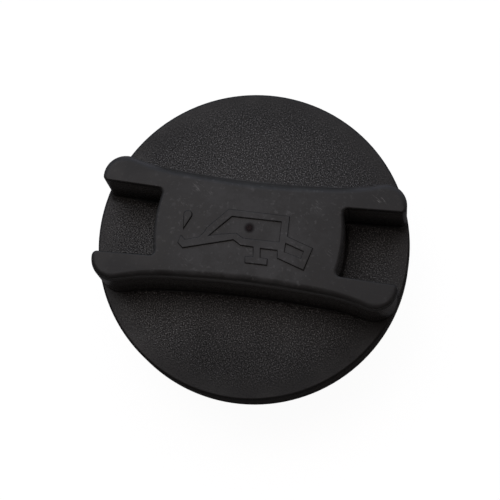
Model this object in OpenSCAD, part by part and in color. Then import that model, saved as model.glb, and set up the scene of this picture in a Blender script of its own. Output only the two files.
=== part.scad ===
// Oil filler cap of the quarter-turn kind. A black plastic cap with an H-shaped grip
// holds a snapped-in bayonet plug, and a rubber ring seals under the plug's flange.
// Z points up through the grip, the grip's long way runs along X, and the origin is
// at the centre of the plug's open end, on which the cap stands.

/* [Disc and rim] */
// Diameter of the disc
disc_d = 70; // [68:1:90]
// Thickness of the disc
disc_wall = 2.8; // [2:0.1:4]
// Depth of the rim, from the disc's top face to the rim's lower edge
rim_depth = 9.2; // [6:0.1:11]
// Wall of the rim
rim_wall = 2.4; // [1.8:0.1:3]
// Round on the rim's upper edge
rim_round = 0.6; // [0.4:0.1:1.7]
// Round on the rim's lower edges
rim_foot_round = 0.5; // [0.2:0.1:0.8]
// Number of short ribs between the socket and the rim
rib_count = 12; // [6:2:24]
// Thickness of these ribs
rib_wall = 1.4; // [1:0.1:2.5]
// Depth of these ribs below the disc
rib_depth = 2.4; // [1:0.1:2.8]

/* [Grip] */
// Height of the grip above the disc
grip_h = 14; // [9:0.5:20]
// Distance from the disc's edge to the tips of the arms
tip_margin = 0.3; // [0.3:0.1:3]
// Width at the middle, across the two flanks
grip_waist = 23; // [21:0.5:25]
// Radius of the hollow curve along each flank
flank_radius = 250; // [150:10:600]
// Distance from the middle at which each flank starts to flare
flare_start = 17.5; // [14:0.5:19]
// Width over the flared arms
grip_spread = 28; // [27:0.5:29]
// Radius of the outer corner of each arm's tip
tip_radius = 4.8; // [3.5:0.1:5.2]
// Radius of the inner corner of each arm's tip
tip_inner_radius = 1.1; // [0.8:0.1:1.4]
// Length of the web between the two notches
web_len = 41.2; // [36:0.2:44]
// How far the web's ends bow outward
web_bow = 0.9; // [0.3:0.1:1.5]
// Width of each notch at the web
notch_w = 15; // [13:0.5:16]
// How much wider each notch is at its mouth
notch_flare = 0.8; // [0:0.1:1.2]
// Radius of the notch's corners at the top
notch_corner = 0.9; // [0.7:0.1:1.5]
// Draft of the flanks, in degrees
flank_draft = 2; // [0.5:0.25:3]
// Draft of the arm tips and of the notch walls, in degrees
notch_draft = 1; // [0.25:0.25:1.25]
// Round on the flanks' upper edge, at the middle
flank_round = 2.2; // [1:0.1:2.4]
// Round on the arm tips' upper edge
tip_round = 1.5; // [0.8:0.1:1.8]
// Round on the upper edge of the web's ends
web_round = 0.8; // [0.3:0.1:1.2]
// Round on the upper edge along the arms' inner sides
notch_round = 0.35; // [0.2:0.05:0.6]
// Fillet where the flanks meet the disc
foot_fillet = 1.4; // [0.5:0.1:1.8]
// Width of the fillet at the foot of the arms' inner sides
notch_fillet = 2; // [0.4:0.1:2.4]
// Width of the fillet at the foot of the web's ends
web_fillet = 1; // [0.4:0.1:1.8]
// Wall left round the pockets cored into the web from below
core_wall = 2.6; // [2:0.1:3.5]
// Number of pockets cored into the web
core_count = 3; // [1:1:5]
// Wall between two pockets
core_rib = 2; // [1.2:0.1:3]
// Radius of the pockets' upright corners
core_corner = 1.2; // [0.6:0.1:1.6]

/* [Plug] */
// Outside diameter of the plug's tube
plug_d = 40; // [38:0.5:42]
// Wall of the tube
plug_wall = 2.4; // [1.8:0.1:3.5]
// Length of the tube below the flange
plug_len = 17; // [15:0.5:26]
// Chamfer on the tube's open end
plug_chamfer = 0.8; // [0.3:0.1:1.1]
// Thickness of the flange that closes the tube
flange_t = 2.6; // [2:0.1:3.2]
// Width of the lip round the seal's groove
lip_w = 1; // [0.8:0.1:1.3]
// Depth of that lip
lip_depth = 1.2; // [0.6:0.1:2]
// Width of the flange outside the lip, held by the snap bead
ledge_w = 0.8; // [0.7:0.1:1.1]
// Height of the tongues that turn the plug with the grip
tongue_h = 3; // [1.5:0.5:6]
// Wall of the tongues
tongue_wall = 1.8; // [1.2:0.1:2.2]

/* [Bayonet lugs] */
// Number of lugs
lug_count = 3; // [2:1:4]
// Arc of each lug, in degrees
lug_arc = 46; // [30:1:60]
// How far the lugs stand out of the tube
lug_out = 2.6; // [1.8:0.1:3.2]
// Height of the lugs' lower face above the tube's end
lug_base = 1.4; // [1.2:0.1:3]
// Height of a lug at its leading end
lug_h = 3; // [2.4:0.1:4]
// Rise of the ramp along the lug
ramp_rise = 1.1; // [0.5:0.1:1.5]
// Height of the stop above the ramp's end
stop_h = 2; // [1:0.1:2.4]
// Arc of the stop, in degrees
stop_arc = 6; // [4:0.5:9]

/* [Seal] */
// Radial width of the sealing ring
seal_w = 4.6; // [3.6:0.1:5]
// Thickness of the sealing ring
seal_t = 3.4; // [2.5:0.1:4.5]
// Round on the sealing ring's edges
seal_round = 0.6; // [0.3:0.1:1]

/* [Socket and fits] */
// Wall of the socket ring that holds the plug
socket_wall = 2; // [1.5:0.1:2.4]
// Radial clearance round the flange, and round each tongue
socket_gap = 0.15; // [0.1:0.05:0.3]
// Radial clearance between the seal and the plug
seal_gap = 0.2; // [0.1:0.05:0.3]
// Height of the snap bead under the flange
bead_h = 0.8; // [0.6:0.1:1.2]
// Play between the flange and the snap bead
bead_play = 0.1; // [0.05:0.05:0.2]

/* [Hidden] */
$fn = 96;

// Levels along Z
flange_z = plug_len;
disc_z = flange_z + flange_t;
top_z = disc_z + disc_wall;
rim_z = top_z - rim_depth;
bead_z = flange_z - bead_play;

// Radii, each from its neighbour inside
plug_r = plug_d / 2;
seal_in_r = plug_r + seal_gap;
seal_out_r = seal_in_r + seal_w;
lip_in_r = seal_out_r + seal_gap;
lip_out_r = lip_in_r + lip_w;
flange_r = lip_out_r + ledge_w;
socket_in_r = flange_r + socket_gap;
socket_out_r = socket_in_r + socket_wall;
bead_r = (lip_out_r + flange_r) / 2;
disc_r = disc_d / 2;
rim_in_r = disc_r - rim_wall;
// Depth to which one solid runs into the solid that carries it
joined = 0.5;

// Plan of the grip at its upper edge, one quarter of it
tip_y = grip_spread / 2 - tip_radius;
tip_x = sqrt(pow(disc_r - tip_margin - tip_radius, 2) - pow(tip_y, 2));
grip_end = tip_x + tip_radius;
web_x = web_len / 2;
notch_y = notch_w / 2;
mouth_y = notch_y + notch_flare / 2;
arm_slope = atan((mouth_y - notch_y) / (grip_end - web_x));
inner_tip_r = min(tip_inner_radius, (tip_y - mouth_y) * 0.95);
// Each flank: a long hollow arc, then a flare arc that runs into the tip's arc
flank_turn = asin(flare_start / flank_radius);
flank_centre = [0, grip_waist / 2 + flank_radius];
flare_dir = [-sin(flank_turn), cos(flank_turn)];
flare_at = flank_centre - flank_radius * flare_dir;
from_tip = flare_at - [tip_x, tip_y];
flare_radius = (from_tip * from_tip - pow(tip_radius, 2)) / (2 * (tip_radius - flare_dir * from_tip));
flare_centre = flare_at + flare_radius * flare_dir;
flare_turn = atan2(tip_x - flare_centre[0], flare_centre[1] - tip_y);
// The web's end: a bowed arc that runs into the notch's corner arc
bow_radius = (pow(notch_y, 2) + pow(web_bow, 2)) / (2 * web_bow);
bow_turn = asin((notch_y - notch_corner) / (bow_radius + notch_corner));
bow_centre = [web_x - bow_radius, 0];
corner_centre = bow_centre + (bow_radius + notch_corner) * [cos(bow_turn), sin(bow_turn)];

// Finish of the walls: upper round, foot fillet, and how far the foot stands out by draft
flank_foot = grip_h * tan(flank_draft);
notch_foot = grip_h * tan(notch_draft);
flare_round = flank_round + (tip_round - flank_round) * flare_start / tip_x;
waist_walls = [flank_round, foot_fillet, flank_foot];
flare_walls = [flare_round, foot_fillet, flank_foot];
tip_walls = [tip_round, 0, notch_foot];
inner_tip_walls = [min(tip_round, inner_tip_r * 0.8), 0, notch_foot];
notch_walls = [notch_round, notch_fillet, notch_foot];
web_walls = [web_round, web_fillet, notch_foot];

// A hollow corner gets tighter as its walls move out. Once it is down to the least
// radius it slides out between its two walls, by this way for each millimetre.
least_corner = 0.15;
function dir_at(turn) = [sin(turn), cos(turn)];
function slide_between(turns) =
    let (a = dir_at(turns[0]), b = dir_at(turns[1])) (a + b) / (1 + a * b);

// Points along an arc, bulging out of the plastic (side 1) or hollow (side -1), as
// [place, direction, walls, slide]. Directions are in degrees from +Y towards +X and point
// out of the plastic. An arc that carries on from another one starts at its step 1. A
// corner's slide is [distance to move before it starts, its way].
function arc_points(centre, radius, side, turns, walls, steps, first = 0, corner = false) =
    let (slide = corner ? [radius - least_corner, slide_between(turns)] : [disc_d, [0, 0]])
    [for (i = [first:steps])
        let (share = i / steps, dir = dir_at(turns[0] + (turns[1] - turns[0]) * share))
        [centre + side * radius * dir, dir, walls[0] + (walls[1] - walls[0]) * share, slide]];

// Number of straight steps in each arc of the quarter
waist_steps = 4;
flare_steps = 6;
tip_steps = 12;
inner_steps = 5;
corner_steps = 4;
bow_steps = 3;
inner_tip_centre = [grip_end - inner_tip_r, mouth_y + inner_tip_r];
quarter = concat(
    arc_points(flank_centre, flank_radius, -1, [0, -flank_turn],
        [waist_walls, flare_walls], waist_steps),
    arc_points(flare_centre, flare_radius, -1, [-flank_turn, -flare_turn],
        [flare_walls, tip_walls], flare_steps, 1),
    arc_points([tip_x, tip_y], tip_radius, 1, [-flare_turn, 90],
        [tip_walls, inner_tip_walls], tip_steps, 1),
    arc_points(inner_tip_centre, inner_tip_r, 1, [90, 180 - arm_slope],
        [inner_tip_walls, notch_walls], inner_steps),
    arc_points(corner_centre, notch_corner, -1, [180 - arm_slope, 90 - bow_turn],
        [notch_walls, web_walls], corner_steps, corner = true),
    arc_points(bow_centre, bow_radius, 1, [90 - bow_turn, 90],
        [web_walls, web_walls], bow_steps, 1));

// The other quarters are mirrored, and each end point that two of them share is kept once
function flip(v, sx, sy) = [v[0] * sx, v[1] * sy];
function flipped(points, sx, sy) = [for (p = points)
    [flip(p[0], sx, sy), flip(p[1], sx, sy), p[2], [p[3][0], flip(p[3][1], sx, sy)]]];
function without_last(points) = [for (i = [0:len(points) - 2]) points[i]];
function backwards(points) = [for (i = [len(points) - 1:-1:0]) points[i]];
grip_plan = concat(
    without_last(quarter),
    without_last(backwards(flipped(quarter, 1, -1))),
    without_last(flipped(quarter, -1, -1)),
    without_last(backwards(flipped(quarter, -1, 1))));

// The flat ends of the grip's solid, cut into faces that don't cross the notches. The
// faces of one quarter use the places of its points in the quarter.
bow_end = len(quarter) - 1;
corner_at = bow_end - bow_steps - corner_steps;
mouth_at = corner_at - 1;
web_faces = concat(
    [for (i = [0:waist_steps - 2]) [bow_end, i, i + 1]],
    [for (i = [corner_at:bow_end - 1]) [waist_steps - 1, i, i + 1]]);
arm_faces = concat(
    [for (i = [waist_steps - 1:waist_steps + 1]) [corner_at, i, i + 1]],
    [[waist_steps + 2, mouth_at, corner_at]],
    [for (i = [waist_steps + 2:mouth_at - 2]) [mouth_at, i, i + 1]]);
function in_plan(i, q) = (q % 2 == 0 ? q * bow_end + i : (q + 1) * bow_end - i) % (4 * bow_end);
grip_ends = concat(
    [[0, bow_end, 2 * bow_end, 3 * bow_end]],
    [for (q = [0:3]) for (f = concat(web_faces, arm_faces))
        let (g = q % 2 == 0 ? f : [f[2], f[1], f[0]])
        [for (i = g) in_plan(i, q)]]);

// Rings of the grip: each point of the plan moved out to its own wall, at its own level.
// A foot ring goes round the fillet, an upper ring over the rounded edge.
foot_steps = 3;
upper_steps = 6;
grip_root = disc_wall / 2;
fillet_sunk = 0.06;
function moved(p, out, level) =
    let (slid = max(out - p[3][0], 0), at = p[0] + p[1] * (out - slid) + p[3][1] * slid)
    [at[0], at[1], level];
function foot_ring(turn) =
    let (level = foot_fillet * (1 - cos(turn)))
    [for (p = grip_plan)
        moved(p, p[2][1] * (1 - sin(turn)) + p[2][2] * (1 - level / grip_h), level - fillet_sunk)];
function upper_ring(turn) =
    [for (p = grip_plan)
        let (level = grip_h - p[2][0] * (1 - sin(turn)))
        moved(p, p[2][2] * (1 - level / grip_h) - p[2][0] * (1 - cos(turn)), level)];
function dropped(ring, level) = [for (p = ring) [p[0], p[1], level]];

// Closed solid through rings of equal length, each ring clockwise seen from the last one.
// The ends are the faces of a ring that close it.
module skin(rings, ends) {
    n = len(rings[0]);
    last = len(rings) - 1;
    sides = [for (k = [0:last - 1]) for (i = [0:n - 1])
        let (a = k * n + i, b = k * n + (i + 1) % n)
        each [[a, b, b + n], [a, b + n, a + n]]];
    first_end = [for (f = ends) [for (i = [len(f) - 1:-1:0]) f[i]]];
    last_end = [for (f = ends) [for (i = f) last * n + i]];
    polyhedron(points = [for (ring = rings) each ring], faces = concat(first_end, sides, last_end));
}

module grip_form() {
    translate([0, 0, top_z])
        skin(concat(
            [dropped(foot_ring(0), -grip_root)],
            [for (i = [0:foot_steps]) foot_ring(90 * i / foot_steps)],
            [for (i = [0:upper_steps]) upper_ring(90 * i / upper_steps)]), grip_ends);
}

// Rectangle with round corners, centred
module round_rect(w, d, r) {
    square([w - 2 * r, d], center = true);
    square([w, d - 2 * r], center = true);
    for (sx = [-1, 1]) for (sy = [-1, 1])
        translate([sx * (w / 2 - r), sy * (d / 2 - r)]) circle(r = r, $fn = 24);
}

// The pockets that keep the web's walls even, side by side along X
core_len = web_len - 2 * (web_bow + core_wall);
pocket_w = (core_len - (core_count - 1) * core_rib) / core_count;
pocket_d = grip_waist - 2 * core_wall;
pocket_h = top_z + grip_h - core_wall - disc_z;
function pocket_x(i) = (i - (core_count - 1) / 2) * (pocket_w + core_rib);

module disc_section() {
    translate([0, disc_z]) square([disc_r - rim_round, disc_wall]);
    translate([rim_in_r, rim_z + rim_foot_round])
        square([rim_wall, rim_depth - rim_round - rim_foot_round]);
    translate([disc_r - rim_round, top_z - rim_round]) circle(r = rim_round);
    translate([rim_in_r + rim_foot_round, rim_z])
        square([rim_wall - 2 * rim_foot_round, rim_foot_round + joined]);
    for (r = [rim_in_r + rim_foot_round, disc_r - rim_foot_round])
        translate([r, rim_z + rim_foot_round]) circle(r = rim_foot_round);
}

// The ring wall round the plug's flange, with the snap bead that holds it
module socket_section() {
    foot = bead_z - bead_h;
    translate([socket_in_r, foot]) square([socket_wall, disc_z + joined - foot]);
    polygon([
        [bead_r, bead_z],
        [socket_in_r + joined, bead_z],
        [socket_in_r + joined, foot],
        [socket_in_r, foot],
        [bead_r, foot + bead_h / 2]]);
}

module grip_cap() {
    color("#1b1b1d")
    difference() {
        union() {
            rotate_extrude() disc_section();
            rotate_extrude() socket_section();
            for (i = [0:rib_count - 1])
                rotate((i + 0.5) * 360 / rib_count)
                    translate([socket_out_r - joined, -rib_wall / 2, disc_z - rib_depth])
                        cube([rim_in_r - socket_out_r + 2 * joined, rib_wall, rib_depth + joined]);
            grip_form();
        }
        for (i = [0:core_count - 1])
            translate([pocket_x(i), 0, disc_z - joined])
                linear_extrude(pocket_h + joined) round_rect(pocket_w, pocket_d, core_corner);
    }
}

// Cross-section of a lug at one place along its arc
function lug_ring(turn, top) =
    [for (p = [[plug_r - joined, lug_base], [plug_r + lug_out, lug_base],
            [plug_r + lug_out, top], [plug_r - joined, top]])
        [p[0] * cos(turn), p[0] * sin(turn), p[1]]];

// A lug: a ramp that pulls the cap down as it turns clockwise, then the stop
ramp_steps = 10;
step_arc = 0.6;
// The first gap between two lugs is centred on the +X side
lug_start = (360 / lug_count - lug_arc) / 2;
module lug() {
    ramp_arc = lug_arc - stop_arc;
    ramp_low = lug_base + lug_h;
    skin(concat(
        [for (i = [0:ramp_steps])
            lug_ring(ramp_arc * i / ramp_steps, ramp_low + ramp_rise * i / ramp_steps)],
        [for (turn = [ramp_arc + step_arc, lug_arc]) lug_ring(turn, ramp_low + ramp_rise + stop_h)]),
        [[0, 1, 2, 3]]);
}

module plug_section() {
    bore_r = plug_r - plug_wall;
    polygon([
        [0, flange_z], [bore_r, flange_z], [bore_r, 0],
        [plug_r - plug_chamfer, 0], [plug_r, plug_chamfer], [plug_r, flange_z],
        [lip_in_r, flange_z], [lip_in_r, flange_z - lip_depth],
        [lip_out_r, flange_z - lip_depth], [lip_out_r, flange_z],
        [flange_r, flange_z], [flange_r, disc_z], [0, disc_z]]);
}

// Rectangle with its corners cut off, centred
module cut_rect(w, d, cut) {
    x = w / 2;
    y = d / 2;
    polygon([
        [x, y - cut], [x - cut, y], [cut - x, y], [-x, y - cut],
        [-x, cut - y], [cut - x, -y], [x - cut, -y], [x, cut - y]]);
}

// A hollow tongue that fills the foot of a grip pocket
module tongue() {
    wall = socket_gap + tongue_wall;
    linear_extrude(tongue_h + joined)
        difference() {
            cut_rect(pocket_w - 2 * socket_gap, pocket_d - 2 * socket_gap, core_corner);
            square([pocket_w - 2 * wall, pocket_d - 2 * wall], center = true);
        }
}

module bayonet_plug() {
    color("#242426") {
        rotate_extrude() plug_section();
        for (i = [0:lug_count - 1]) rotate(i * 360 / lug_count + lug_start) lug();
        for (i = [0, core_count - 1]) translate([pocket_x(i), 0, disc_z - joined]) tongue();
    }
}

module seal_section() {
    low = flange_z - seal_t;
    translate([seal_in_r + seal_round, low]) square([seal_w - 2 * seal_round, seal_t]);
    translate([seal_in_r, low + seal_round]) square([seal_w, seal_t - 2 * seal_round]);
    for (r = [seal_in_r + seal_round, seal_out_r - seal_round])
        for (z = [low + seal_round, flange_z - seal_round])
            translate([r, z]) circle(r = seal_round, $fn = 24);
}

module seal_ring() {
    color("#121214") rotate_extrude() seal_section();
}

grip_cap();
bayonet_plug();
seal_ring();
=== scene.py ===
# %% [markdown]
# This lesson dresses a black oil filler cap from a car engine. The cap moulding, the
# bayonet plug and the sealing ring come ready made as solids, so the steps here are the
# camera, the finish of each plastic, the raised oil can on the grip, and a soft studio
# light. Loading the solids first gives everything else its places.

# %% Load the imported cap
import math

import bmesh
import bpy
from mathutils import Matrix, Vector


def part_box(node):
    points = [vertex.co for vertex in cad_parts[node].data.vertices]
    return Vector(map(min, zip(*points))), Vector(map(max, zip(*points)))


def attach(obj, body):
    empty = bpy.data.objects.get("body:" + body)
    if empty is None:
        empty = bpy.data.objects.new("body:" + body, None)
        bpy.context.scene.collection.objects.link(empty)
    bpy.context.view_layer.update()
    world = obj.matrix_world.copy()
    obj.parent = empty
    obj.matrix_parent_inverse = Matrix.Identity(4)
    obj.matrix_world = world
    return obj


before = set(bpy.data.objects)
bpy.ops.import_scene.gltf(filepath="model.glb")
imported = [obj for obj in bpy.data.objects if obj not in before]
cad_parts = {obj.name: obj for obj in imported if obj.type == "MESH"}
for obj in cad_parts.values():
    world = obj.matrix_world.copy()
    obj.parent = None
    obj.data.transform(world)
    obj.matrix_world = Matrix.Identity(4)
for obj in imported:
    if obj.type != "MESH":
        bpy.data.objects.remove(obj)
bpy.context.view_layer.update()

MM = 0.001
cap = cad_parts["grip_cap"]
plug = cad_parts["bayonet_plug"]
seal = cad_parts["seal_ring"]

# %% [markdown]
# A few heights and radii are read off the solids. The grip's top is the highest point of
# the cap. The disc lies one grip height below it, and its radius is half the cap's width.

# %% Levels and radii of the cap
GRIP_HEIGHT = 14 * MM
grip_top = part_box("grip_cap")[1].z
disc_top = grip_top - GRIP_HEIGHT
disc_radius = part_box("grip_cap")[1].x
print("disc top at", round(disc_top / MM, 2), "mm, radius", round(disc_radius / MM, 2), "mm")

# %% [markdown]
# The camera looks almost straight down, leaning about 12 degrees towards the front and a
# little to the right, with a long lens from 0.36 m. The lean and the turn come from the
# disc's oval and from how far the grip's top is shifted against its foot. The frame is
# turned in the hand as well, which is the roll.

# %% Camera
LEAN = math.radians(12.23)
TURN = math.radians(27.31)
ROLL = math.radians(-20.28)
DISTANCE = 358.3 * MM
LENS_MM = 115.24
SENSOR_MM = 36
AIM = Vector((-0.50 * MM, -1.32 * MM, disc_top))

back = Vector((math.sin(LEAN) * math.sin(TURN), -math.sin(LEAN) * math.cos(TURN), math.cos(LEAN)))
upright = Vector((-math.cos(LEAN) * math.sin(TURN), math.cos(LEAN) * math.cos(TURN), math.sin(LEAN)))
sideways = upright.cross(back)
right = math.cos(ROLL) * sideways + math.sin(ROLL) * upright
up = math.cos(ROLL) * upright - math.sin(ROLL) * sideways
camera = bpy.data.objects.new("camera", bpy.data.cameras.new("camera"))
camera.data.lens = LENS_MM
camera.data.sensor_width = SENSOR_MM
camera.data.clip_start = 0.01
facing = Matrix((right, up, back)).transposed().to_4x4()
camera.matrix_world = Matrix.Translation(AIM + DISTANCE * back) @ facing
bpy.context.scene.collection.objects.link(camera)
bpy.context.scene.camera = camera
bpy.context.scene.view_settings.view_transform = "Standard"
print("camera at", [round(v, 4) for v in camera.location])

# %% [markdown]
# Every material is a small tree of nodes. Two helpers keep the trees readable: one turns
# an sRGB hex colour into the linear values that shaders take, the other adds a node with
# its settings and wires in one call.

# %% Helpers for colours and nodes
def linear(hex_colour):
    channels = [int(hex_colour[i:i + 2], 16) / 255 for i in (1, 3, 5)]
    return [c / 12.92 if c <= 0.04045 else ((c + 0.055) / 1.055) ** 2.4 for c in channels] + [1]


def add_node(tree, kind, inputs=None, **settings):
    made = tree.nodes.new(kind)
    for name, value in settings.items():
        setattr(made, name, value)
    for key, value in (inputs or {}).items():
        if isinstance(value, bpy.types.NodeSocket):
            tree.links.new(value, made.inputs[key])
        else:
            made.inputs[key].default_value = value
    return made


def new_material(name):
    material = bpy.data.materials.new(name)
    material.use_nodes = True
    tree = material.node_tree
    tree.nodes.clear()
    output = add_node(tree, "ShaderNodeOutputMaterial")
    return material, tree, output

# %% [markdown]
# Masks say where a finish belongs. They are built from arithmetic on a point's place on
# the object, in metres, so they stay put from every side. The helpers below are the few
# sums that the masks need.

# %% Helpers for masks
# The share of a round spot's radius over which it has its full strength
SPOT_CORE = 0.4


def calculate(tree, operation, first, second=0.0):
    return add_node(tree, "ShaderNodeMath", {0: first, 1: second}, operation=operation).outputs[0]


def fade(tree, value, start, end, at_start=0.0, at_end=1.0):
    stretch = add_node(tree, "ShaderNodeMapRange", {
        "Value": value, "From Min": start, "From Max": end, "To Min": at_start, "To Max": at_end},
        interpolation_type="SMOOTHSTEP")
    return stretch.outputs["Result"]


def noise(tree, place, size_mm, detail=2.0, roughness=0.5, stretch=(1, 1, 1)):
    scaled = add_node(tree, "ShaderNodeVectorMath", {0: place, 1: stretch}, operation="MULTIPLY")
    texture = add_node(tree, "ShaderNodeTexNoise", {
        "Vector": scaled.outputs[0], "Scale": 1 / (size_mm * MM), "Detail": detail, "Roughness": roughness})
    return texture.outputs["Fac"]


def blend_colours(tree, share, first, second):
    mixed = add_node(tree, "ShaderNodeMix", {"Factor": share}, data_type="RGBA")
    for socket, colour in ((6, first), (7, second)):
        if isinstance(colour, bpy.types.NodeSocket):
            tree.links.new(colour, mixed.inputs[socket])
        else:
            mixed.inputs[socket].default_value = colour
    return mixed.outputs[2]


def around(tree, place, x_mm, y_mm, radius_mm, level):
    centre = (x_mm * MM, y_mm * MM, level)
    away = add_node(tree, "ShaderNodeVectorMath", {0: place, 1: centre}, operation="DISTANCE")
    return fade(tree, away.outputs["Value"], radius_mm * MM, radius_mm * SPOT_CORE * MM)

# %% [markdown]
# The cap is injection moulded from black polyamide filled with glass fibre. Polyamide has
# an index of refraction near 1.53. The mould was spark eroded where the disc shows, which
# leaves a fine sparkling grain, and only stoned smooth on the grip, which comes out satin.
# Real spark grain is about 0.2 mm. It is drawn at 0.28 mm here, little more than a pixel
# of the picture, because anything finer would vanish between pixels. Its pits are rough and
# coloured dark as painted shade, and its peaks are coloured light as painted glints. Use
# shows as well: fingers have greyed and flecked the web. The upper part of the walls is
# lightened, partly as finger wear and partly as painted light that lifts their shade, and
# the lower walls and the rim are lightened a little as painted light. The disc is coloured
# darker towards its rim and in front of the grip as painted shade, with one patch in front
# on the left kept lighter as painted light.

# %% Spark-eroded polyamide of the cap
GRAIN_MM = 0.28
GRAIN_DEPTH_MM = 0.07
SATIN_MM = 0.9
SATIN_DEPTH_MM = 0.004
# Broad shallow sinks, which every thick moulding has
SINK_MM = 11
SINK_DEPTH_MM = 0.05
BLOOM_MM = 6.5
SCRATCH_LENGTH_MM = 9
SCRATCH_WIDTH_MM = 0.16
SCRATCH_DEPTH_MM = 0.004
SCUFF_LENGTH_MM = 1.1
SCUFF_WIDTH_MM = 0.22
SCUFF_TURN = math.radians(38)
STAIN_RADIUS_MM = 1.4
# Fingers rub the walls, and painted light lifts their shade, fully down to the first depth, and not at all
# below the second
RUBBED_AND_PAINTED_LIGHT_DOWN_MM = (5, 9.5)
GATE_PLACE = (0.1, 0.8)
SYMBOL_HEIGHT_MM = 0.38
POLYAMIDE_IOR = 1.53
# The pits of the grain swallow part of the gloss
GRAINED_GLOSS = 0.35
# Scuffed spots on the grip's top: place across, place up, radius and strength
SCUFFS = (
    (-12.2, 8.8, 1.8, 0.7), (-14.8, 5.2, 1.7, 0.7), (-9.6, 7.2, 1.4, 0.4), (-3.4, 9.8, 0.5, 1.0),
    (14.4, 7.2, 2.0, 0.45), (27.4, 10.6, 2.2, 0.8), (-12.8, -8.0, 1.6, 0.5), (17.8, -2.6, 1.4, 0.3))
# Spots where the disc's painted shade is stronger, or weaker as painted light, than around them, given in
# the same way
PAINTED_DISC_SHADE_SPOTS = ((-2.0, -21.0, 13.0, 0.3), (-20.0, -18.0, 12.0, -0.75))


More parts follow.
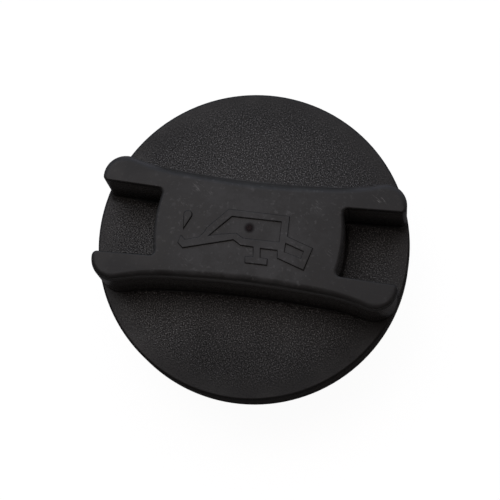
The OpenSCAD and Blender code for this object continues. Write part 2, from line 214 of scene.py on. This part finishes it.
def spark_eroded_polyamide():
    material, tree, output = new_material("spark_eroded_polyamide")
    place = add_node(tree, "ShaderNodeTexCoord").outputs["Object"]
    split = add_node(tree, "ShaderNodeSeparateXYZ", {0: place})
    across, deep, height = split.outputs
    radius = calculate(tree, "SQRT", calculate(
        tree, "ADD", calculate(tree, "MULTIPLY", across, across), calculate(tree, "MULTIPLY", deep, deep)))

    on_disc = calculate(
        tree, "MULTIPLY",
        fade(tree, height, disc_top + 0.9 * MM, disc_top + 0.1 * MM),
        fade(tree, height, disc_top - 1.2 * MM, disc_top - 0.1 * MM))
    grained = calculate(
        tree, "MULTIPLY", on_disc, fade(tree, radius, disc_radius, 0.8 * disc_radius, 0.4, 1))
    on_grip = fade(tree, height, grip_top - 0.5 * MM, grip_top - 0.05 * MM)
    on_rim = calculate(
        tree, "MULTIPLY",
        fade(tree, height, disc_top - 0.2 * MM, disc_top - 0.8 * MM),
        fade(tree, radius, disc_radius - 1.0 * MM, disc_radius - 0.4 * MM))

    grain = noise(tree, place, GRAIN_MM, detail=1.5, roughness=0.6)
    satin = noise(tree, place, SATIN_MM, detail=4)
    sink = noise(tree, place, SINK_MM, detail=1)
    bloom = noise(tree, place, BLOOM_MM, detail=5, roughness=0.62)
    streaks = noise(
        tree, place, SCRATCH_WIDTH_MM, detail=2,
        stretch=(SCRATCH_WIDTH_MM / SCRATCH_LENGTH_MM, 1, 1))
    scratches = calculate(tree, "MULTIPLY", fade(tree, streaks, 0.64, 0.74), on_grip)
    turned = add_node(tree, "ShaderNodeVectorRotate", {"Vector": place, "Angle": SCUFF_TURN})
    chatter = noise(
        tree, turned.outputs[0], SCUFF_WIDTH_MM, detail=2, roughness=0.6,
        stretch=(SCUFF_WIDTH_MM / SCUFF_LENGTH_MM, 1, 1))
    scuffed = None
    for x_mm, y_mm, radius_mm, strength in SCUFFS:
        spot = calculate(
            tree, "MULTIPLY", around(tree, place, x_mm, y_mm, radius_mm, grip_top), strength)
        scuffed = spot if scuffed is None else calculate(tree, "MAXIMUM", scuffed, spot)
    scuffs = calculate(tree, "MULTIPLY", fade(tree, chatter, 0.55, 0.66), scuffed)
    symbol_top = grip_top + SYMBOL_HEIGHT_MM * MM
    # The sloping sides of the raised symbol, coloured dark as painted shade and made duller
    step_sides_painted_shade = calculate(
        tree, "MULTIPLY",
        fade(tree, height, grip_top + 0.02 * MM, grip_top + 0.06 * MM),
        fade(tree, height, symbol_top - 0.02 * MM, symbol_top - 0.06 * MM))
    on_edge = calculate(
        tree, "MULTIPLY",
        fade(tree, height, grip_top - 1.6 * MM, grip_top - 0.9 * MM),
        fade(tree, height, grip_top - 0.02 * MM, grip_top - 0.3 * MM))
    on_arm = calculate(
        tree, "MULTIPLY",
        fade(tree, calculate(tree, "ABSOLUTE", across), 19 * MM, 24 * MM),
        fade(tree, deep, 8 * MM, 10.5 * MM))
    # Worn edges on the far arms, lightened partly as wear and partly as a painted highlight along those far
    # edges
    edge_wear_and_painted_highlight = calculate(
        tree, "MULTIPLY", calculate(tree, "MULTIPLY", on_edge, on_arm),
        fade(tree, bloom, 0.3, 0.6, 0.3, 1))
    # The upper walls, lightened partly as finger wear and partly as painted light that lifts their shade
    rubbed_and_painted_light = calculate(
        tree, "MULTIPLY",
        fade(tree, height, grip_top - RUBBED_AND_PAINTED_LIGHT_DOWN_MM[1] * MM, grip_top - RUBBED_AND_PAINTED_LIGHT_DOWN_MM[0] * MM),
        fade(tree, height, grip_top - 0.4 * MM, grip_top - 1.3 * MM))
    on_wall = calculate(
        tree, "MULTIPLY",
        fade(tree, height, disc_top + 1.2 * MM, disc_top + 2.4 * MM),
        fade(tree, height, grip_top - 1.0 * MM, grip_top - 2.2 * MM))
    stained = around(tree, place, *GATE_PLACE, STAIN_RADIUS_MM, grip_top)

    handled = calculate(tree, "MULTIPLY", on_grip, fade(tree, radius, 26 * MM, 10 * MM))
    colour = blend_colours(tree, fade(tree, bloom, 0.35, 0.7), linear("#1d1d1d"), linear("#232323"))
    colour = blend_colours(tree, handled, colour, blend_colours(
        tree, fade(tree, bloom, 0.4, 0.65), linear("#202020"), linear("#3b3b3b")))
    # Painted shade: the disc's colour darkens towards its rim and in front of the grip, more so past the
    # grip's ends, and the spots add painted shade or take it away as painted light
    painted_shade_past_grip = fade(tree, calculate(tree, "ABSOLUTE", deep), 9 * MM, 14 * MM, 0.5, 1)
    painted_shade_sum = calculate(tree, "MULTIPLY", painted_shade_past_grip, calculate(
        tree, "MULTIPLY",
        fade(tree, radius, 0.5 * disc_radius, 0.9 * disc_radius),
        fade(tree, deep, 12 * MM, -18 * MM, 0.7, 1)))
    for x_mm, y_mm, radius_mm, strength in PAINTED_DISC_SHADE_SPOTS:
        painted_shade_sum = calculate(tree, "ADD", painted_shade_sum, calculate(
            tree, "MULTIPLY", around(tree, place, x_mm, y_mm, radius_mm, disc_top), strength))
    painted_disc_shade = calculate(tree, "MULTIPLY", on_disc, calculate(tree, "MAXIMUM", painted_shade_sum, 0))
    # The painted shade takes the disc towards near black
    colour = blend_colours(tree, calculate(tree, "MULTIPLY", painted_disc_shade, 0.9), colour, linear("#080808"))
    # Painted light: the upper walls are lightened, partly as finger wear, and the lower walls and the rim a
    # little, to lift their shade
    wear_and_painted_light = calculate(tree, "MAXIMUM", calculate(tree, "MULTIPLY", rubbed_and_painted_light, 0.8), calculate(
        tree, "MULTIPLY", on_rim, 0.5))
    wear_and_painted_light = calculate(tree, "MAXIMUM", wear_and_painted_light, calculate(tree, "MULTIPLY", on_wall, 0.2))
    colour = blend_colours(tree, wear_and_painted_light, colour, linear("#4c4c4c"))
    # The grain's pits are coloured dark as painted shade and made rougher; its peaks are coloured light as
    # painted glints
    pits_with_painted_shade = calculate(tree, "MULTIPLY", fade(tree, grain, 0.5, 0.38), grained)
    painted_glints = calculate(tree, "MULTIPLY", fade(tree, grain, 0.55, 0.68), calculate(
        tree, "SUBTRACT", grained, calculate(tree, "MULTIPLY", painted_disc_shade, 0.5)))
    colour = blend_colours(tree, pits_with_painted_shade, colour, linear("#020202"))
    colour = blend_colours(tree, painted_glints, colour, linear("#7c7c7c"))
    flecks = calculate(tree, "MULTIPLY", fade(tree, satin, 0.57, 0.72), calculate(
        tree, "MULTIPLY", on_grip, fade(tree, radius, 30 * MM, 12 * MM, 0.25, 1)))
    colour = blend_colours(tree, calculate(tree, "MULTIPLY", flecks, 0.3), colour, linear("#6a6a6a"))
    colour = blend_colours(tree, calculate(tree, "MULTIPLY", scratches, 0.25), colour, linear("#3a3a3a"))
    colour = blend_colours(tree, scuffs, colour, linear("#6e6e6c"))
    # Wear and painted highlight along the far arms' edges
    colour = blend_colours(tree, calculate(tree, "MULTIPLY", edge_wear_and_painted_highlight, 0.5), colour, linear("#56565a"))
    colour = blend_colours(tree, calculate(tree, "MULTIPLY", stained, 0.6), colour, linear("#170a0b"))
    # Painted shade on the symbol's sloping sides
    colour = blend_colours(tree, step_sides_painted_shade, colour, linear("#0a0a0a"))

    dull = calculate(tree, "MAXIMUM", calculate(tree, "MULTIPLY", on_rim, 0.6), calculate(
        tree, "MULTIPLY", calculate(tree, "MAXIMUM", stained, step_sides_painted_shade), 0.55))
    plain = calculate(
        tree, "ADD", fade(tree, bloom, 0.3, 0.7, 0.27, 0.37),
        calculate(tree, "MULTIPLY", on_grip, 0.11))
    roughness = calculate(tree, "SUBTRACT", calculate(tree, "ADD", plain, dull), calculate(
        tree, "MULTIPLY", on_wall, 0.14))
    roughness = calculate(tree, "ADD", roughness, calculate(tree, "MULTIPLY", pits_with_painted_shade, 0.4))
    roughness = calculate(tree, "ADD", roughness, calculate(tree, "MULTIPLY", painted_disc_shade, 0.08))

    relief = calculate(tree, "MULTIPLY", sink, SINK_DEPTH_MM * MM)
    relief = calculate(tree, "ADD", relief, calculate(tree, "MULTIPLY", satin, SATIN_DEPTH_MM * MM))
    relief = calculate(tree, "ADD", relief, calculate(
        tree, "MULTIPLY", calculate(tree, "MULTIPLY", grain, grained), GRAIN_DEPTH_MM * MM))
    relief = calculate(tree, "SUBTRACT", relief, calculate(
        tree, "MULTIPLY", scratches, SCRATCH_DEPTH_MM * MM))
    bump = add_node(tree, "ShaderNodeBump", {"Height": relief, "Strength": 1.0, "Distance": 1.0})

    shader = add_node(tree, "ShaderNodeBsdfPrincipled", {
        "Base Color": colour, "Roughness": roughness, "IOR": POLYAMIDE_IOR,
        "Specular IOR Level": GRAINED_GLOSS, "Normal": bump.outputs[0]})
    tree.links.new(shader.outputs[0], output.inputs[0])
    return material


cap_finish = spark_eroded_polyamide()
print("made", cap_finish.name)

# %% [markdown]
# The plug is the same kind of polyamide, plain as it left a polished mould: smoother, with
# a slight orange peel and no grain. Nothing rubs on it but the engine's neck.

# %% Satin polyamide of the plug
PEEL_MM = 1.4
PEEL_DEPTH_MM = 0.008
FLOW_MM = 9


def satin_polyamide():
    material, tree, output = new_material("satin_polyamide")
    place = add_node(tree, "ShaderNodeTexCoord").outputs["Object"]
    peel = noise(tree, place, PEEL_MM, detail=3)
    flow = noise(tree, place, FLOW_MM, detail=3, stretch=(1, 1, 0.25))
    colour = blend_colours(tree, fade(tree, flow, 0.35, 0.65), linear("#1d1d1e"), linear("#272728"))
    roughness = fade(tree, flow, 0.3, 0.7, 0.36, 0.46)
    relief = calculate(tree, "MULTIPLY", peel, PEEL_DEPTH_MM * MM)
    bump = add_node(tree, "ShaderNodeBump", {"Height": relief, "Strength": 1.0, "Distance": 1.0})
    shader = add_node(tree, "ShaderNodeBsdfPrincipled", {
        "Base Color": colour, "Roughness": roughness, "IOR": POLYAMIDE_IOR, "Normal": bump.outputs[0]})
    tree.links.new(shader.outputs[0], output.inputs[0])
    return material


plug_finish = satin_polyamide()
print("made", plug_finish.name)

# %% [markdown]
# The seal is nitrile rubber, pressed in a mould and dusted by its own wax bloom. Rubber is
# rough and darker than the plastic, and the bloom greys it in soft patches.

# %% Nitrile rubber of the seal
WAX_MM = 4
SKIN_MM = 0.6
SKIN_DEPTH_MM = 0.006
RUBBER_IOR = 1.52


def nitrile_rubber():
    material, tree, output = new_material("nitrile_rubber")
    place = add_node(tree, "ShaderNodeTexCoord").outputs["Object"]
    wax = noise(tree, place, WAX_MM, detail=5, roughness=0.65)
    skin = noise(tree, place, SKIN_MM, detail=3)
    colour = blend_colours(tree, fade(tree, wax, 0.42, 0.7), linear("#121213"), linear("#202021"))
    relief = calculate(tree, "MULTIPLY", skin, SKIN_DEPTH_MM * MM)
    bump = add_node(tree, "ShaderNodeBump", {"Height": relief, "Strength": 1.0, "Distance": 1.0})
    shader = add_node(tree, "ShaderNodeBsdfPrincipled", {
        "Base Color": colour, "Roughness": fade(tree, wax, 0.3, 0.7, 0.6, 0.75),
        "IOR": RUBBER_IOR, "Normal": bump.outputs[0]})
    tree.links.new(shader.outputs[0], output.inputs[0])
    return material


seal_finish = nitrile_rubber()
print("made", seal_finish.name)

# %% [markdown]
# The solids arrive as separate flat faces. Welding their points and shading them smooth up
# to an angle of 32 degrees brings back the curves, and weighting the normals by area keeps
# the large walls flat beside their rounds. These are modifiers, so the solids themselves
# stay as they are.

# %% Dress the three solids
SMOOTH_UP_TO = math.radians(32)


def dress(piece, finish):
    piece.data.materials.clear()
    piece.data.materials.append(finish)
    for face in piece.data.polygons:
        face.use_smooth = True
    weld = piece.modifiers.new("join_faces", "WELD")
    weld.merge_threshold = 0.002 * MM
    split = piece.modifiers.new("keep_edges", "EDGE_SPLIT")
    split.split_angle = SMOOTH_UP_TO
    weights = piece.modifiers.new("weigh_by_area", "WEIGHTED_NORMAL")
    weights.weight = 100
    print("dressed", piece.name, "with", finish.name)


dress(cap, cap_finish)
dress(plug, plug_finish)
dress(seal, seal_finish)

# %% [markdown]
# The oil can on the grip is a raised symbol, cut into the mould. It stands on its head for
# the viewer: the spout points left with the drop above it, and the filler knob hangs down.
# A flat curve with holes is the simplest way to such a shape, because it fills itself and
# its bevel gives the sloping sides that a cutter leaves. It is then turned into a mesh.
# The cap's finish is darker between the two levels, as painted shade on those sides.

# %% Raised oil can symbol
SYMBOL_SLOPE_MM = 0.19
CAN_OUTLINE = (
    (-14.9, -4.2), (-13.7, -5.3), (-3.0, -2.3), (-1.3, -3.3), (1.5, -3.4), (1.7, -5.4),
    (0.0, -5.5), (0.1, -7.0), (5.0, -7.0), (4.9, -5.5), (3.3, -5.4), (3.1, -3.5), (6.7, -3.5),
    (6.9, -5.2), (12.9, -7.2), (14.3, -2.1), (8.6, -0.2), (8.5, 4.3), (-4.8, 4.4), (-9.0, -0.1),
    (-9.6, -1.4), (-10.6, -2.5), (-13.4, -3.3), (-14.4, -2.4))
CAN_WINDOW = ((-8.3, -1.9), (-3.9, 2.8), (6.8, 2.8), (6.9, -1.6), (-0.9, -1.6), (-2.5, -0.7), (-5.6, -1.2))
HANDLE_WINDOW = ((8.4, -1.8), (12.3, -3.1), (12.0, -4.6), (8.3, -3.6))
DROP_CENTRE = (-13.5, 2.2)
DROP_RADIUS = 0.95
DROP_TIP = (-14.1, -1.2)


def drop_outline(steps=14):
    lean = math.atan2(DROP_TIP[1] - DROP_CENTRE[1], DROP_TIP[0] - DROP_CENTRE[0])
    reach = math.dist(DROP_TIP, DROP_CENTRE)
    open_angle = math.acos(DROP_RADIUS / reach)
    turns = [lean + open_angle + (2 * math.pi - 2 * open_angle) * i / steps for i in range(steps + 1)]
    ring = [
        (DROP_CENTRE[0] + DROP_RADIUS * math.cos(turn), DROP_CENTRE[1] + DROP_RADIUS * math.sin(turn))
        for turn in turns]
    return ring + [DROP_TIP]


def raised_symbol(name, outlines, height_mm, slope_mm):
    curve = bpy.data.curves.new(name, "CURVE")
    curve.dimensions = "2D"
    curve.fill_mode = "BOTH"
    for outline in outlines:
        spline = curve.splines.new("POLY")
        spline.points.add(len(outline) - 1)
        for point, (x_mm, y_mm) in zip(spline.points, outline):
            point.co = (x_mm * MM, y_mm * MM, 0, 1)
        spline.use_cyclic_u = True
    curve.extrude = (height_mm - slope_mm) * MM
    curve.bevel_depth = slope_mm * MM
    curve.bevel_resolution = 1
    curve.offset = -slope_mm * MM
    holder = bpy.data.objects.new(name + "_curve", curve)
    bpy.context.scene.collection.objects.link(holder)
    bpy.context.view_layer.update()
    mesh = bpy.data.meshes.new_from_object(holder.evaluated_get(bpy.context.evaluated_depsgraph_get()))
    bpy.data.objects.remove(holder)
    mesh.transform(Matrix.Translation((0, 0, grip_top)))
    mesh.name = name
    piece = bpy.data.objects.new(name, mesh)
    bpy.context.scene.collection.objects.link(piece)
    return piece


symbol = raised_symbol(
    "oil_can_symbol", (CAN_OUTLINE, CAN_WINDOW, HANDLE_WINDOW, drop_outline()),
    SYMBOL_HEIGHT_MM, SYMBOL_SLOPE_MM)
symbol.data.materials.append(cap_finish)
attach(symbol, "root")
print("symbol has", len(symbol.data.polygons), "faces")

# %% [markdown]
# In the middle of the symbol sits the gate mark, where the runner of molten plastic was
# cut off: a shallow dimple with a low torn rim, in a slightly redder, burnt tone. It is
# turned from a short profile, as a lathe would. The stain around it is in the cap's finish.

# %% Gate mark
GATE_PROFILE = ((0.0, 0.02), (0.2, 0.03), (0.34, 0.08), (0.46, 0.1), (0.55, 0.06), (0.62, -0.03))
GATE_STEPS = 28
TORN_MM = 0.25
TORN_DEPTH_MM = 0.02


def burnt_polyamide():
    material, tree, output = new_material("burnt_polyamide")
    place = add_node(tree, "ShaderNodeTexCoord").outputs["Object"]
    torn = noise(tree, place, TORN_MM, detail=3)
    colour = blend_colours(tree, fade(tree, torn, 0.4, 0.6), linear("#140a0b"), linear("#28191a"))
    relief = calculate(tree, "MULTIPLY", torn, TORN_DEPTH_MM * MM)
    bump = add_node(tree, "ShaderNodeBump", {"Height": relief, "Strength": 1.0, "Distance": 1.0})
    shader = add_node(tree, "ShaderNodeBsdfPrincipled", {
        "Base Color": colour, "Roughness": 0.85, "IOR": POLYAMIDE_IOR,
        "Specular IOR Level": GRAINED_GLOSS, "Normal": bump.outputs[0]})
    tree.links.new(shader.outputs[0], output.inputs[0])
    return material


def gate_mark():
    form = bmesh.new()
    rings = []
    for radius_mm, level_mm in GATE_PROFILE[1:]:
        turns = [2 * math.pi * i / GATE_STEPS for i in range(GATE_STEPS)]
        rings.append([form.verts.new((
            (GATE_PLACE[0] + radius_mm * math.cos(t)) * MM,
            (GATE_PLACE[1] + radius_mm * math.sin(t)) * MM,
            grip_top + level_mm * MM)) for t in turns])
    middle = form.verts.new((GATE_PLACE[0] * MM, GATE_PLACE[1] * MM, grip_top + GATE_PROFILE[0][1] * MM))
    for i in range(GATE_STEPS):
        after = (i + 1) % GATE_STEPS
        form.faces.new((middle, rings[0][i], rings[0][after]))
        for inner, painted_disc_shade in zip(rings, rings[1:]):
            form.faces.new((inner[i], painted_disc_shade[i], painted_disc_shade[after], inner[after]))
    for face in form.faces:
        face.smooth = True
    mesh = bpy.data.meshes.new("gate_mark")
    form.to_mesh(mesh)
    form.free()
    piece = bpy.data.objects.new("gate_mark", mesh)
    bpy.context.scene.collection.objects.link(piece)
    return piece


gate = gate_mark()
gate.data.materials.append(burnt_polyamide())
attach(gate, "root")
print("gate mark has", len(gate.data.polygons), "faces")

# %% [markdown]
# The cap stands on a white table. The table's own paint is grey, and an even glow, seen
# only by the camera and in reflections, lifts it to the clean white of a product picture
# while the soft shadow stays. Close to the cap, reflections see the table unlit, because
# the cap shades it there.

# %% White table
TABLE_SIZE = 6
TABLE_GLOW = 0.95
# Reflections meet the cap's shade on the table up to here, and the bright table beyond
SHADE_REACH_MM = (90, 900)


def white_table():
    bpy.ops.mesh.primitive_plane_add(size=TABLE_SIZE, location=(0, 0, 0))
    table = bpy.context.object
    table.name = "table"
    material, tree, output = new_material("white_laminate")
    rays = add_node(tree, "ShaderNodeLightPath").outputs
    place = add_node(tree, "ShaderNodeTexCoord").outputs["Object"]
    away = add_node(tree, "ShaderNodeVectorMath", {0: place}, operation="LENGTH").outputs["Value"]
    open_table = fade(tree, away, SHADE_REACH_MM[0] * MM, SHADE_REACH_MM[1] * MM)
    mirrored = calculate(tree, "MULTIPLY", open_table, calculate(
        tree, "MAXIMUM", rays["Is Glossy Ray"], rays["Is Transmission Ray"]))
    seen = calculate(tree, "MAXIMUM", rays["Is Camera Ray"], mirrored)
    paint = add_node(tree, "ShaderNodeBsdfDiffuse", {"Color": linear("#6e6e6e")})
    glow = add_node(tree, "ShaderNodeEmission", {
        "Color": (1, 1, 1, 1), "Strength": calculate(tree, "MULTIPLY", seen, TABLE_GLOW)})
    both = add_node(tree, "ShaderNodeAddShader", {0: paint.outputs[0], 1: glow.outputs[0]})
    tree.links.new(both.outputs[0], output.inputs[0])
    table.data.materials.append(material)
    return table


white_table()

# %% [markdown]
# The picture was lit softly from above and behind, with a dark room in front: the rounds
# that face the viewer stay dark, and the far edges catch a thin light line. A sky that
# fades from dim and warm in front to bright and cool behind gives that. One soft lamp
# almost overhead reaches down between the grip's walls, where little of the sky is seen.

# %% Studio light
SKY_TOP = 0.06
SKY_TO_BACK = 2.3
SKY_TO_RIGHT = -0.8
SKY_LEAST = 0.2
SKY_MOST = 1.3
HORIZON_SHARE = 0.3
HORIZON_FADE = (0.25, 0.95)
BACK_IS_OPEN = 0.12


def studio_sky():
    world = bpy.data.worlds.new("studio_sky")
    world.use_nodes = True
    tree = world.node_tree
    tree.nodes.clear()
    direction = add_node(tree, "ShaderNodeTexCoord").outputs["Generated"]
    right, back, high = add_node(tree, "ShaderNodeSeparateXYZ", {0: direction}).outputs
    to_back = calculate(tree, "MULTIPLY", back, SKY_TO_BACK)
    to_right = calculate(tree, "MULTIPLY", right, SKY_TO_RIGHT)
    slope = calculate(tree, "ADD", calculate(tree, "ADD", to_back, to_right), SKY_TOP)
    level = calculate(tree, "MINIMUM", calculate(tree, "MAXIMUM", slope, SKY_LEAST), SKY_MOST)
    open_sky = calculate(tree, "ADD", high, calculate(tree, "MULTIPLY", back, BACK_IS_OPEN))
    strength = calculate(tree, "MULTIPLY", level, fade(tree, open_sky, *HORIZON_FADE, HORIZON_SHARE, 1))
    tint = blend_colours(tree, fade(tree, slope, 0.2, 1.6), linear("#ffeee8"), linear("#ebf0ff"))
    sky = add_node(tree, "ShaderNodeBackground", {"Color": tint, "Strength": strength})
    output = add_node(tree, "ShaderNodeOutputWorld", {0: sky.outputs[0]})
    bpy.context.scene.world = world
    return output


def soft_lamp(name, place, size, power, colour):
    lamp = bpy.data.lights.new(name, "AREA")
    lamp.shape = "DISK"
    lamp.size = size
    lamp.energy = power
    lamp.color = linear(colour)[:3]
    holder = bpy.data.objects.new(name, lamp)
    holder.location = place
    holder.rotation_euler = (Vector((0, 0, disc_top)) - Vector(place)).to_track_quat("-Z", "Y").to_euler()
    bpy.context.scene.collection.objects.link(holder)
    return holder


studio_sky()
soft_lamp("key_lamp", (-0.21, 0.18, 0.9), 0.4, 0.58, "#fffaf8")
